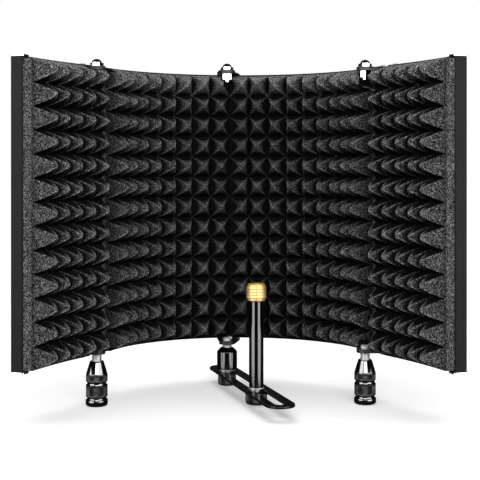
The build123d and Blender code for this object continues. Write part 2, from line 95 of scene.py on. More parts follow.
def panel_arcs():
    """Panel name to (arc centre, valley radius, first angle, last angle, columns), anticlockwise."""
    inner = (SHIELD_AXIS_X, VALLEY_Y - INNER_RADIUS)
    seam = UP + COLUMN_PITCH / 2 / INNER_RADIUS
    half_gap = CENTRE_GAP / 2 / INNER_RADIUS
    left, start, end = wing_arc(-1)
    right = wing_arc(1)[0]
    return {
        "outer_left": (left, WING_RADIUS, UP + start, UP + end, WING_COLUMNS),
        "inner_left": (inner, INNER_RADIUS, seam + half_gap, UP + SEAM_ANGLE, 8),
        "inner_right": (inner, INNER_RADIUS, UP - SEAM_ANGLE, seam - half_gap, 9),
        "outer_right": (right, WING_RADIUS, UP - end, UP - start, WING_COLUMNS),
    }


ARCS = panel_arcs()

# ---- materials -----------------------------------------------------------------------------------


FLOOR_GLOW = 0.27


class Look:
    """A procedural material, with short ways to add noise, colour, roughness and bump."""

    def __init__(self, name, colour, metallic=0.0, roughness=0.5):
        self.material = bpy.data.materials.new(name)
        self.material.use_nodes = True
        self.nodes = self.material.node_tree.nodes
        self.links = self.material.node_tree.links
        self.shader = self.nodes["Principled BSDF"]
        self.set("Base Color", (*colour, 1.0))
        self.set("Metallic", metallic)
        self.set("Roughness", roughness)
        self.place = self.nodes.new("ShaderNodeTexCoord").outputs["Object"]

    def set(self, socket, value):
        self.shader.inputs[socket].default_value = value

    def node(self, kind, inputs=(), **values):
        made = self.nodes.new(kind)
        for key, value in values.items():
            setattr(made, key, value)
        for key, value in dict(inputs).items():
            if isinstance(value, bpy.types.NodeSocket):
                self.links.new(value, made.inputs[key])
            else:
                made.inputs[key].default_value = value
        return made

    def stretched(self, x, y, z):
        """Texture place squeezed by a factor along each axis."""
        mapping = self.node("ShaderNodeMapping", {"Vector": self.place, "Scale": (x, y, z)})
        return mapping.outputs["Vector"]

    def noise(self, scale, detail=2.0, place=None, roughness=0.5):
        inputs = {"Vector": place or self.place, "Scale": scale, "Detail": detail, "Roughness": roughness}
        return self.node("ShaderNodeTexNoise", inputs).outputs["Fac"]

    def cells(self, scale):
        """Distance from the middle of round cells, scale of them to a metre."""
        inputs = {"Vector": self.place, "Scale": scale}
        return self.node("ShaderNodeTexVoronoi", inputs).outputs["Distance"]

    def carried(self, name):
        """A value stored on the mesh's points."""
        return self.node("ShaderNodeAttribute", attribute_name=name).outputs["Fac"]

    def spread(self, value, low, high, to_low=0.0, to_high=1.0):
        """Map low..high to to_low..to_high, clamped."""
        inputs = {"Value": value, "From Min": low, "From Max": high, "To Min": to_low, "To Max": to_high}
        return self.node("ShaderNodeMapRange", inputs).outputs["Result"]

    def maths(self, operation, a, b):
        return self.node("ShaderNodeMath", {0: a, 1: b}, operation=operation).outputs[0]

    def blend_colour(self, factor, first, second):
        made = self.node("ShaderNodeMix", data_type="RGBA")
        self.links.new(factor, made.inputs["Factor"])
        for index, value in ((6, first), (7, second)):
            if isinstance(value, bpy.types.NodeSocket):
                self.links.new(value, made.inputs[index])
            else:
                made.inputs[index].default_value = (*value, 1.0)
        return made.outputs[2]

    def colour(self, socket):
        self.links.new(socket, self.shader.inputs["Base Color"])

    def rough(self, socket):
        self.links.new(socket, self.shader.inputs["Roughness"])

    def bump(self, height, strength, distance):
        inputs = {"Height": height, "Strength": strength, "Distance": distance}
        self.links.new(self.node("ShaderNodeBump", inputs).outputs["Normal"], self.shader.inputs["Normal"])


def foam_look():
    """Open-cell foam: dark cells a millimetre wide between paler strands, painted paler at the tips and
    ridges as painted light, and darkened between the pyramids as painted shade.
    """
    look = Look("open_cell_foam", (0.03, 0.03, 0.032), roughness=0.95)
    look.set("Specular IOR Level", 0.04)
    cells = look.spread(look.cells(640.0), 0.12, 0.62)
    grain = look.spread(look.noise(900.0, 2.0, roughness=0.6), 0.40, 0.62)
    broad = look.spread(look.noise(45.0, 3.0), 0.3, 0.7)
    strands = look.maths("MULTIPLY", cells, grain)
    dark = look.blend_colour(broad, (0.004, 0.004, 0.004), (0.009, 0.009, 0.0095))
    pale = look.blend_colour(broad, (0.620, 0.620, 0.626), (0.790, 0.790, 0.798))
    speckle = look.blend_colour(strands, dark, pale)
    # painted shade: a low painted light value blends the foam towards near black, where shade falls
    # between the pyramids
    shade = look.spread(look.carried("painted_light"), 0.42, 1.15, 0.97, 0.0)
    look.colour(look.blend_colour(shade, speckle, (0.003, 0.003, 0.003)))
    look.bump(look.maths("ADD", strands, grain), 0.9, 0.7 * MM)
    return look.material


def felt_look():
    """Absorber mat: mid-grey felt with loose fibres."""
    look = Look("absorber_felt", (0.12, 0.12, 0.125), roughness=0.95)
    fibres = look.noise(900.0, 4.0, look.stretched(1.0, 1.0, 0.35), 0.7)
    tufts = look.noise(160.0, 3.0)
    tone = look.spread(fibres, 0.3, 0.7)
    look.colour(look.blend_colour(tone, (0.05, 0.05, 0.053), (0.21, 0.21, 0.215)))
    look.bump(look.maths("ADD", fibres, tufts), 0.7, 0.6 * MM)
    return look.material


def anodised_look():
    """Dark anodised aluminium with a fine drawn grain along the height."""
    look = Look("anodised_frame", (0.012, 0.012, 0.013), metallic=0.0, roughness=0.5)
    look.set("Specular IOR Level", 0.1)
    grain = look.noise(1400.0, 2.0, look.stretched(1.0, 1.0, 0.02))
    patches = look.noise(22.0, 3.0)
    drawn = look.spread(grain, 0.3, 0.7, 0.0, 0.5)
    clouded = look.spread(patches, 0.3, 0.7, 0.0, 0.5)
    tone = look.maths("ADD", drawn, clouded)
    look.colour(look.blend_colour(tone, (0.004, 0.004, 0.0043), (0.011, 0.011, 0.0117)))
    look.rough(look.spread(patches, 0.3, 0.7, 0.44, 0.58))
    look.bump(grain, 0.15, 0.05 * MM)
    return look.material


def powder_look():
    """Satin black powder coat with a slight orange peel."""
    look = Look("powder_coat", (0.014, 0.014, 0.015), roughness=0.45)
    peel = look.noise(650.0, 2.0)
    broad = look.noise(30.0, 3.0)
    look.colour(look.blend_colour(broad, (0.010, 0.010, 0.011), (0.022, 0.022, 0.024)))
    look.rough(look.spread(broad, 0.3, 0.7, 0.38, 0.55))
    look.bump(peel, 0.25, 0.08 * MM)
    return look.material


def gloss_look():
    """Deep black lacquer over metal."""
    look = Look("gloss_black", (0.004, 0.004, 0.0045), roughness=0.14)
    look.set("Specular IOR Level", 0.35)
    look.set("Coat Weight", 0.25)
    look.set("Coat Roughness", 0.06)
    smears = look.noise(60.0, 4.0)
    look.colour(look.blend_colour(smears, (0.004, 0.004, 0.0045), (0.010, 0.010, 0.011)))
    look.rough(look.spread(smears, 0.3, 0.7, 0.10, 0.20))
    look.bump(look.noise(500.0, 2.0), 0.05, 0.03 * MM)
    return look.material


def black_chrome_look():
    """Black chrome plating: dark and almost a mirror, but dull on the gripping bands."""
    look = Look("black_chrome", (0.18, 0.18, 0.186), metallic=1.0, roughness=0.10)
    smears = look.noise(90.0, 3.0)
    band = look.carried("band")
    polished = look.blend_colour(smears, (0.15, 0.15, 0.155), (0.21, 0.21, 0.217))
    patches = look.spread(look.noise(230.0, 3.0), 0.3, 0.7)
    dull = look.blend_colour(patches, (0.018, 0.018, 0.020), (0.060, 0.060, 0.064))
    look.colour(look.blend_colour(band, polished, dull))
    smooth = look.spread(smears, 0.3, 0.7, 0.06, 0.15)
    look.rough(look.maths("ADD", smooth, look.maths("MULTIPLY", band, 0.24)))
    look.bump(look.noise(900.0, 2.0), 0.05, 0.02 * MM)
    return look.material


def knurl_look():
    """Black plating on the nut and knob, duller than the polished parts."""
    look = Look("knurled_black", (0.06, 0.06, 0.063), metallic=1.0, roughness=0.34)
    patches = look.noise(160.0, 3.0)
    tone = look.spread(patches, 0.3, 0.7)
    look.colour(look.blend_colour(tone, (0.018, 0.018, 0.020), (0.060, 0.060, 0.064)))
    look.rough(look.spread(patches, 0.3, 0.7, 0.28, 0.42))
    look.bump(look.noise(1100.0, 3.0), 0.35, 0.06 * MM)
    return look.material


def tube_look():
    """Black plating of the tube and the centre spacer, with a faint drawn grain."""
    look = Look("plated_tube", (0.070, 0.070, 0.073), metallic=1.0, roughness=0.09)
    smears = look.noise(70.0, 3.0)
    look.colour(look.blend_colour(smears, (0.064, 0.064, 0.066), (0.080, 0.080, 0.083)))
    look.rough(look.spread(smears, 0.3, 0.7, 0.07, 0.12))
    look.bump(look.noise(1200.0, 2.0, look.stretched(1.0, 1.0, 0.03)), 0.04, 0.02 * MM)
    return look.material


def chrome_look():
    """Bright chrome of the nuts and end caps."""
    look = Look("bright_chrome", (0.50, 0.51, 0.53), metallic=1.0, roughness=0.07)
    smears = look.noise(140.0, 3.0)
    look.colour(look.blend_colour(smears, (0.44, 0.45, 0.46), (0.56, 0.57, 0.58)))
    look.rough(look.spread(smears, 0.3, 0.7, 0.04, 0.12))
    return look.material


def steel_look():
    """Satin zinc plating of the studs, screws and washers."""
    look = Look("zinc_plating", (0.72, 0.72, 0.73), metallic=0.45, roughness=0.36)
    smears = look.noise(200.0, 3.0)
    look.colour(look.blend_colour(smears, (0.60, 0.60, 0.61), (0.82, 0.82, 0.83)))
    look.rough(look.spread(smears, 0.3, 0.7, 0.30, 0.42))
    return look.material


def brass_look():
    """Warm turned brass with faint lathe rings."""
    look = Look("turned_brass", (0.98, 0.68, 0.27), metallic=0.9, roughness=0.52)
    rings = look.noise(1500.0, 2.0, look.stretched(0.02, 0.02, 1.0))
    stains = look.noise(120.0, 4.0)
    look.colour(look.blend_colour(look.spread(stains, 0.3, 0.7), (0.98, 0.58, 0.17), (1.0, 0.76, 0.36)))
    look.rough(look.spread(stains, 0.3, 0.7, 0.50, 0.60))
    look.bump(rings, 0.12, 0.03 * MM)
    return look.material


def floor_look():
    """Matt white sweep that glows a little, so that it stays white away from the lamps."""
    look = Look("pale_floor", (0.86, 0.86, 0.86), roughness=0.8)
    look.set("Specular IOR Level", 0.0)
    look.set("Emission Color", (1.0, 1.0, 1.0, 1.0))
    look.set("Emission Strength", FLOOR_GLOW)
    return look.material


FOAM = foam_look()
FELT = felt_look()
ANODISED = anodised_look()
POWDER = powder_look()
GLOSS = gloss_look()
BLACK_CHROME = black_chrome_look()
TUBE = tube_look()
KNURL = knurl_look()
CHROME = chrome_look()
STEEL = steel_look()
BRASS = brass_look()

# ---- mesh helpers --------------------------------------------------------------------------------


def solid_object(name, points, faces):
    """An object with its faces turned outwards."""
    data = bpy.data.meshes.new(name)
    data.from_pydata(np.asarray(points, float).tolist(), [], [tuple(map(int, f)) for f in faces])
    mesh = bmesh.new()
    mesh.from_mesh(data)
    bmesh.ops.recalc_face_normals(mesh, faces=mesh.faces)
    mesh.to_mesh(data)
    mesh.free()
    data.validate()
    made = bpy.data.objects.new(name, data)
    bpy.context.scene.collection.objects.link(made)
    return made


def turned_faces(axis, outline, segments, shape=None):
    """Points and faces of a turned solid; outline and axis in metres."""
    angles = [2 * math.pi * i / segments for i in range(segments)]
    points, rows = [], []
    for radius, height in outline:
        if radius < 1e-9:
            rows.append([len(points)] * segments)
            points.append((axis[0], axis[1], height))
            continue
        row = []
        for angle in angles:
            r = shape(angle, height / MM, radius / MM) * MM if shape else radius
            row.append(len(points))
            points.append((axis[0] + r * math.cos(angle), axis[1] + r * math.sin(angle), height))
        rows.append(row)
    closed = outline[0][0] > 1e-9
    pairs = list(zip(rows, rows[1:])) + ([(rows[-1], rows[0])] if closed else [])
    faces = []
    for low, high in pairs:
        for i in range(segments):
            j = (i + 1) % segments
            corners = [low[i], low[j], high[j], high[i]]
            corners = [c for n, c in enumerate(corners) if c not in corners[:n]]
            if len(corners) > 2:
                faces.append(corners)
    return points, faces


def cut_away(piece, axis, outline):
    """Cut a turned shape out of a piece."""
    cutter = solid_object("cutter", *turned_faces(axis, outline, 40))
    tool = piece.modifiers.new("cut", "BOOLEAN")
    tool.operation, tool.solver, tool.object = "DIFFERENCE", "EXACT", cutter
    shown = piece.evaluated_get(bpy.context.evaluated_depsgraph_get())
    cut, old = bpy.data.meshes.new_from_object(shown), piece.data
    piece.modifiers.clear()
    piece.data = cut
    bpy.data.meshes.remove(old)
    cut.name = piece.name
    bpy.data.meshes.remove(cutter.data)


def mesh_piece(
    name, points, faces, material, body, slot, replaces=(), smooth_angle=None, values=None, cuts=()
):
    """A new piece that rides on a body and stands for CAD nodes.

    values are named numbers for the points, and cuts are turned shapes to take away.
    """
    piece = solid_object(name, points, faces)
    if values:
        for key, numbers in values.items():
            piece.data.attributes.new(key, "FLOAT", "POINT").data.foreach_set("value", numbers)
    for axis, outline in cuts:
        cut_away(piece, axis, outline)
    data = piece.data
    data.materials.clear()
    data.materials.append(material)
    if smooth_angle is not None:
        data.polygons.foreach_set("use_smooth", [True] * len(data.polygons))
        data.set_sharp_from_angle(angle=math.radians(smooth_angle))
    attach(piece, body)
    if replaces:
        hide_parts(*replaces)
    return piece


def lathe(name, axis, outline, segments, shape=None, bands=(), **how):
    """A turned piece. The outline is (radius, height) in millimetres, from the middle out and back.

    An outline that starts and ends on the axis closes there; otherwise it is a closed ring. shape may
    change a radius, points between the two heights of a band carry the value "band", and the rest of
    the arguments are those of mesh_piece.
    """
    outline = [(radius * MM, height * MM) for radius, height in outline]
    points, faces = turned_faces(axis, outline, segments, shape)
    if bands:
        inside = [any(low <= z / MM <= high for low, high in bands) for x, y, z in points]
        how["values"] = {"band": [float(part) for part in inside]}
    return mesh_piece(name, points, faces, **how)


def arc_points(centre, radius, start, end, count):
    """(radius, height) points along an arc of an outline; angles in degrees."""
    turns = [math.radians(start + (end - start) * i / (count - 1)) for i in range(count)]
    return [(centre[0] + radius * math.cos(t), centre[1] + radius * math.sin(t)) for t in turns]


def steps(low, high, count):
    """count + 1 even values from low to high."""
    return [low + (high - low) * i / count for i in range(count + 1)]


# ---- foam ----------------------------------------------------------------------------------------

CELLS = 14  # mesh cells across one pyramid
BASE_STEPS = 4  # mesh cells through the base
TIP_ROUND = 0.06
RIDGE_ROUND = 16.0  # a higher power gives sharper ridges
STRAIGHT = 0.45  # share of a flank's rise that is straight; the rest bulges
HOLLOW = 0.07  # how far a flank sinks between its ridges
UNEVEN = 0.25 * MM
# painted light, from 0 in painted shade to 1 fully lit, of the flanks at a panel's edges, the top flank of
# the top row and the plain sides and back
END_FLANK = 0.80
END_FLANK_FOOT = 0.58
SEAM_FLANK_FOOT, SEAM_FLANK_RISE = 0.44, 0.30
TOP_FLANK = 1.0
PLAIN_SIDES = 0.95


def pyramid(u, v, lean, straight):
    """Height of a bulging pyramid from 0 to 1 over its square, u and v from -1 to 1."""
    u = (u - lean) / (1 - lean) if u > lean else (u - lean) / (1 + lean)
    m = (abs(u) ** RIDGE_ROUND + abs(v) ** RIDGE_ROUND) ** (1 / RIDGE_ROUND)
    rounded = (math.sqrt(m * m + TIP_ROUND**2) - TIP_ROUND) / (math.sqrt(1 + TIP_ROUND**2) - TIP_ROUND)
    sunk = HOLLOW * 4 * m * (1 - min(m, 1.0)) * (1 - ridge_share(u, v) ** 2)
    return max(0.0, 1.0 - straight * rounded - (1 - straight) * rounded**2 - sunk)


def ridge_share(u, v):
    """1 on a ridge of the pyramid, 0 along the middle of a flank."""
    return min(abs(u), abs(v)) / max(abs(u), abs(v), 1e-6)


def crest(u, v):
    """1 on a ridge, falling to 0 a little way off it."""
    return math.exp(-(((1 - ridge_share(u, v)) * max(abs(u), abs(v)) / 0.11) ** 2))


def painted_pyramid_light(u, v, height):
    """Painted light and shade of the foam: painted shade between two pyramids, less of it near their
    corners, and painted highlights along the ridges and at the tip.
    """
    near_corner = min(abs(u), abs(v)) ** 2
    # painted highlight along the ridges, fainter near the corners
    ridge = 0.28 * crest(u, v) * (1 - 0.4 * near_corner)
    return min(1.0, 0.95 * height + 0.40 * near_corner * (1 - height) + ridge)


def foam_height(u, v, column, row, columns, centre_column, straight):
    """Pyramid height as a share of the full one, a little different for each pyramid.

    The pyramids of the column at the centre seam lean to one side.
    """
    seed = Vector((column * 3.7, row * 5.3, columns))
    lean = 0.06 * noise.noise(seed)
    size = 1.0 + 0.03 * noise.noise(seed + Vector((9.0, 2.0, 4.0)))
    if column == centre_column:
        lean -= 0.40 if row == ROWS - 1 else 0.60
    return min(size, 1.0) * pyramid(u, v, lean, straight)


def hinge_sides(panel):
    """Whether a hinge stands at a panel's first and at its last angle."""
    return panel != "outer_right", panel != "outer_left"


def edge_of(u, v, column, last_column):
    """-1 or 1 on the flank at a panel's first or last edge, otherwise 0."""
    if abs(u) <= abs(v):
        return 0
    if column == 0 and u < 0:
        return -1
    return 1 if column == last_column and u > 0 else 0


def painted_face_light(panel, row, edge, hinged, u, v, height):
    """Painted light of a point of the face: the flanks at the panels' free ends and beside the centre
    seam, and the top flank of the top row, are painted paler, as if more light fell on them.
    """
    least = 0.0
    if edge and not hinged:
        # painted light on a free end flank, with a thin line of painted shade at its foot
        least = END_FLANK if abs(u) < 0.99 else END_FLANK_FOOT
    elif (panel, edge) in (("inner_left", 1), ("inner_right", -1)):
        least = SEAM_FLANK_FOOT + SEAM_FLANK_RISE * height
    elif row == ROWS - 1 and abs(u) < v:
        least = TOP_FLANK
    pale = painted_pyramid_light(u, v, height)
    # the outer panels get steeper painted shade and a brighter painted highlight along the ridges
    if panel.startswith("outer"):
        pale = pale**1.5 + 0.20 * crest(u, v)
    if row == ROWS - 1:
        pale = 1.30 * pale + 0.12  # the top row catches the light from above
    return max(pale, least)


def foam_front(panel):
    """Points of a panel's pyramid face, rows from bottom to top, and the painted light of each one."""
    centre, radius, start, end, columns = ARCS[panel]
    across, up = columns * CELLS, ROWS * CELLS
    centre_column = columns - 1 if panel == "inner_right" else None
    hinged_start, hinged_end = hinge_sides(panel)
    points, painted_light = [], []
    for j in range(up + 1):
        row = min(j // CELLS, ROWS - 1)
        v = 2 * (j / CELLS - row) - 1
        z = FOAM_BOTTOM + j * ROW_PITCH / CELLS
        for i in range(across + 1):
            column = min(i // CELLS, columns - 1)
            u = 2 * (i / CELLS - column) - 1
            edge = edge_of(u, v, column, columns - 1)
            hinged = hinged_start if edge < 0 else hinged_end
            # a flank that folds against the next panel's is straight
            straight = 1.0 if edge and hinged else STRAIGHT
            height = foam_height(u, v, column, row, columns, centre_column, straight)
            angle = start + (end - start) * i / across
            r = radius - TOOTH_HEIGHT * height
            if 0 < i < across and 0 < j < up:
                r -= UNEVEN * noise.noise(Vector((angle * radius, z, radius)) * 230.0)
            points.append((centre[0] + r * math.cos(angle), centre[1] + r * math.sin(angle), z))
            painted_light.append(painted_face_light(panel, row, edge, hinged, u, v, height))
    return points, painted_light, across, up


def ridge_triangles(across, up):
    """Triangles of the pyramid face, split along the pyramids' ridges."""
    faces = []
    for j in range(up):
        for i in range(across):
            a = j * (across + 1) + i
            b, c, d = a + 1, a + across + 2, a + across + 1
            rising = ((i % CELLS) < CELLS / 2) == ((j % CELLS) < CELLS / 2)
            faces += [(a, b, c), (a, c, d)] if rising else [(a, b, d), (b, c, d)]
    return faces


def turned_cut(*steps_out):
    """Outline from the axis and back to it through (radius, height) steps."""
    return [(0, steps_out[0][1]), *steps_out, (0, steps_out[-1][1])]


def hinge_cuts(panel):
    """Turned shapes to cut round the screw, the stud and the sweeping ears of each hinge."""
    hinges = {"outer_left": ["left"], "inner_left": ["left", "centre"], "inner_right": ["centre", "right"]}
    axes = {"left": LEFT_AXIS, "centre": CENTRE_AXIS, "right": RIGHT_AXIS}
    above, below = FOAM_TOP + 20 * MM, FOAM_BOTTOM - 20 * MM
    near, far = HARDWARE_RADIUS, EAR_SWING
    cuts = []
    for name in hinges.get(panel, ["right"]):
        under_nut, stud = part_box(f"{name}_under_nut"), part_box(f"{name}_foot_stud")
        upper, lower = under_nut[0].z - 8.0 * MM, stud[1].z + 4.0 * MM
        top_ear, bottom_ear = under_nut[1].z, stud[1].z - 3.6 * MM
        if name == "centre":
            at_top = turned_cut((near, upper), (near, above))
            at_bottom = turned_cut((near, below), (near, lower))
        else:
            at_top = turned_cut((near, upper), (near, top_ear), (far, top_ear), (far, above))
            at_bottom = turned_cut((far, below), (far, bottom_ear), (near, bottom_ear), (near, lower))
        cuts += [(axes[name], at_top), (axes[name], at_bottom)]
    return cuts


def face_rim(across, up):
    """Indices round the pyramid face: down its first side, along the bottom, up and back."""
    width = across + 1
    rim = [j * width for j in range(up, 0, -1)]
    rim += list(range(0, width))
    rim += [j * width + across for j in range(1, up + 1)]
    rim += list(range(up * width + across - 1, up * width, -1))
    return rim


def add_sides(points, faces, rim, centre):
    """Plain sides from the rim of the face. Returns the ring of points round the back."""
    ring = rim
    for step in range(1, BASE_STEPS + 1):
        depth = FOAM_BASE * step / BASE_STEPS
        new = []
        for index in rim:
            x, y, z = points[index]
            away = Vector((x - centre[0], y - centre[1], 0)).normalized()
            new.append(len(points))
            points.append((x + away.x * depth, y + away.y * depth, z))
        for n in range(len(ring)):
            after = (n + 1) % len(ring)
            faces.append((ring[n], ring[after], new[after], new[n]))
        ring = new
    return ring


def add_back(points, faces, ring, across, up):
    """The back, as rows of cells between its bottom and top edges."""
    bottom = ring[up : up + across + 1]
    top = [ring[0]] + ring[: up + across + up - 1 : -1]
    left = ring[: up + 1][::-1]
    right = ring[up + across : up + across + up + 1]
    grid = [bottom]
    for j in range(CELLS, up, CELLS):
        row = [left[j]]
        for i in range(1, across):
            x, y = points[bottom[i]][:2]
            row.append(len(points))
            points.append((x, y, points[left[j]][2]))
        row.append(right[j])
        grid.append(row)
    grid.append(top)
    for low, high in zip(grid, grid[1:]):
        for i in range(across):
            faces.append((low[i], low[i + 1], high[i + 1], high[i]))


def make_foam(panel):
    """Foam pad: pyramid face, plain sides and back, cut away round the hinge hardware."""
    points, painted_light, across, up = foam_front(panel)
    faces = ridge_triangles(across, up)
    ring = add_sides(points, faces, face_rim(across, up), ARCS[panel][0])
    add_back(points, faces, ring, across, up)
    # the plain sides and back get little painted shade
    painted_light += [PLAIN_SIDES] * (len(points) - len(painted_light))
    piece = mesh_piece(
        f"{panel}_pyramid_foam",
        points,
        faces,
        FOAM,
        panel,
        "acoustic_foam",
        replaces=[f"{panel}_foam"],
        smooth_angle=38,
        values={"painted_light": painted_light},
        cuts=hinge_cuts(panel),
    )


for panel_name in PANELS:
    make_foam(panel_name)

# ---- absorber mats -------------------------------------------------------------------------------


def make_mat(panel):
    """Felt mat behind the perforated sheet, softly uneven, with rounded long edges."""
    centre, radius = ARCS[panel][:2]
    low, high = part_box(f"{panel}_absorber")
    node = frame["nodes"][f"{panel}_absorber"]
    turns = [math.atan2(v.co.y - centre[1], v.co.x - centre[0]) for v in node.data.vertices]
    turns = [t if t > 0 else t + 2 * math.pi for t in turns]
    reach = [math.hypot(v.co.x - centre[0], v.co.y - centre[1]) for v in node.data.vertices]
    first, last, front, back = min(turns), max(turns), min(reach), max(reach)
    across = max(8, int((last - first) * back / (5 * MM)))
    up = int((high.z - low.z) / (6 * MM))
    edge = 1.2 * MM
    points, faces = [], []
    for side in (0, 1):
        for j in range(up + 1):
            for i in range(across + 1):
                on_rim = i in (0, across) or j in (0, up)
                turn = first + (last - first) * i / across
                z = low.z + (high.z - low.z) * j / up
                r = (front, back)[side]
                inwards = edge if on_rim else 0.0
                swell = 0.35 * MM * (1 + noise.noise(Vector((turn * radius, z, side)) * 60.0)) / 2
                r += (inwards + swell) * (1, -1)[side]
                points.append((centre[0] + r * math.cos(turn), centre[1] + r * math.sin(turn), z))
    count = (across + 1) * (up + 1)
    for side in (0, 1):
        for j in range(up):
            for i in range(across):
                a = side * count + j * (across + 1) + i
                faces.append((a, a + 1, a + across + 2, a + across + 1))
    rim = list(range(0, across + 1))
    rim += [j * (across + 1) + across for j in range(1, up + 1)]
    rim += list(range(up * (across + 1) + across - 1, up * (across + 1) - 1, -1))
    rim += [j * (across + 1) for j in range(up - 1, 0, -1)]
    for n, a in enumerate(rim):
        b = rim[(n + 1) % len(rim)]
        faces.append((a, b, b + count, a + count))
    piece = mesh_piece(
        f"{panel}_felt_mat", points, faces, FELT, panel, "absorber_mat", [f"{panel}_absorber"], 50
    )


for panel_name in PANELS:
    make_mat(panel_name)

# ---- turned hardware -----------------------------------------------------------------------------


def fluted(bands, count, depth):
    """Shape for lathe: straight flutes cut into the bands, each (low, high) in millimetres."""

    def shape(angle, height, radius):
        for low, high in bands:
            if low <= height <= high:
                fade = min(1.0, (height - low) / 0.6, (high - height) / 0.6)
                wave = abs(((angle * count / (2 * math.pi)) % 1.0) * 2 - 1)
                return radius - depth * fade * wave
        return radius

    return shape


def band_points(radius, low, high, count):
    """Outline points up a straight side."""
    return [(radius, z) for z in steps(low, high, count)]


def make_side_foot(name, axis):
    """Bottle-shaped foot: cone, two fluted bands between polished grooves, rounded base."""
    outline = [(0, 0), (8.4, 0)]
    outline += arc_points((8.4, 3.2), 3.2, -80, -4, 9)
    outline += [(11.5, 5.4)] + arc_points((10.7, 6.0), 0.8, 0, 60, 4)
    outline += [(10.1, 7.1), (9.9, 7.6), (9.9, 8.9), (10.2, 9.4)]
    outline += arc_points((10.6, 10.2), 0.6, -90, -10, 4)
    outline += band_points(11.2, 10.4, 21.4, 12)
    outline += arc_points((10.6, 21.6), 0.6, 10, 90, 4)
    outline += [(10.1, 22.4), (9.9, 22.9), (9.9, 24.7), (10.1, 25.2)]
    outline += arc_points((10.6, 25.9), 0.6, -90, -10, 4)
    outline += band_points(11.2, 26.1, 32.6, 8)
    # the cone swells slightly
    for t in steps(0.0, 1.0, 10)[1:]:
        outline.append((10.9 - 3.8 * t**1.15, 33.2 + 12.9 * t))
    outline += [(6.9, 46.4), (6.5, 46.5), (5.25, 46.5), (5.25, 34.5), (0, 34.5)]
    flutes = [(10.5, 21.3), (26.2, 32.5)]
    lathe(
        f"{name}_bottle_foot",
        axis,
        outline,
        264,
        fluted(flutes, 44, 0.42),
        bands=[(9.8, 22.0), (25.6, 32.8)],
        material=BLACK_CHROME,
        body=f"{name}_foot",
        slot="gloss_black",
        replaces=[f"{name}_foot"],
        smooth_angle=35,
    )


def make_centre_foot():
    """Smooth spacer with a shoulder."""
    outline = [(5.25, 18.4), (10.8, 18.4)]
    outline += arc_points((10.8, 19.0), 0.6, -80, 0, 5)
    outline += band_points(11.4, 20.0, 37.6, 6)
    outline += arc_points((10.4, 37.9), 1.0, 0, 45, 5)
    outline += [(7.6, 42.2), (7.1, 42.7), (6.6, 43.0), (5.25, 43.0)]
    lathe(
        "centre_spacer",
        CENTRE_AXIS,
        outline,
        96,
        material=TUBE,
        body="inner_left",
        slot="gloss_black",
        replaces=["centre_foot"],
        smooth_angle=35,
    )


def make_bracket_nut():
    """Fluted nut under the bracket, rounded below."""
    outline = [(0, 0), (7.4, 0)]
    outline += arc_points((7.4, 2.9), 2.9, -80, -5, 9)
    outline += band_points(10.3, 3.4, 12.9, 12)
    outline += arc_points((9.6, 13.6), 0.7, 0, 90, 5)
    outline += [(5.25, 14.3), (5.25, 5.0), (0, 5.0)]
    lathe(
        "knurled_bracket_nut",
        CENTRE_AXIS,
        outline,
        240,
        fluted([(2.2, 13.3)], 40, 0.45),
        material=KNURL,
        body="bracket_nut",
        slot="gloss_black",
        replaces=["bracket_nut"],
        smooth_angle=35,
    )


def make_knob():
    """Clamp knob under the bracket: fluted rim, domed below, flat on top."""
    outline = [(4.0, 1.0), (8.2, 1.0)]
    outline += arc_points((8.2, 4.2), 3.2, -88, -8, 9)
    outline += band_points(11.4, 4.6, 11.6, 10)
    outline += arc_points((9.4, 12.3), 2.0, 5, 88, 7)
    outline += [(8.2, 14.3), (4.0, 14.3)]
    lathe(
        "knurled_clamp_knob",
        POST_AXIS,
        outline,
        264,
        fluted([(2.4, 12.9)], 44, 0.5),
        material=KNURL,
        body="clamp_knob",
        slot="gloss_black",
        replaces=["clamp_knob"],
        smooth_angle=35,
    )


def make_stud(name, axis, body):
    """Threaded stud with a real helix, as tall as its CAD node."""
    low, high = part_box(f"{name}_foot_stud")
    bottom, top = low.z / MM, high.z / MM
    pitch, depth, major = 2.1, 0.75, 5.2
    outline = [(0, bottom), (3.9, bottom)]
    outline += [(major, z) for z in steps(bottom + 0.6, top - 0.6, int((top - bottom) / 0.21))]
    outline += [(3.9, top), (0, top)]

    def helix(angle, height, radius):
        if radius < major:
            return radius
        run = min(1.0, (height - bottom) / 1.6, (top - height) / 1.6)
        turn = (height / pitch - angle / (2 * math.pi)) % 1.0
        groove = min(1.0, max(0.0, 2.6 * abs(turn * 2 - 1) - 0.8))
        return radius - depth * groove * max(0.3, run) - 0.9 * (1 - run) * 0.5

    lathe(
        f"{name}_threaded_stud",
        axis,
        outline,
        48,
        helix,
        material=STEEL,
        body=body,
        slot="bright_steel",
        replaces=[f"{name}_foot_stud"],
        smooth_angle=50,
    )


def hexagon(across_flats, low, high, chamfer, turn=0.0):
    """Shape for lathe: a hexagon with chamfered corners between two heights."""

    def shape(angle, height, radius):
        if not low - 1e-6 <= height <= high + 1e-6:
            return radius
        part = (angle - turn + math.pi / 6) % (math.pi / 3) - math.pi / 6
        flat = across_flats / 2 / math.cos(part)
        edge = min(height - low, high - height)
        return min(flat, across_flats / 2 + (edge - chamfer[0]) * chamfer[1], radius)

    return shape


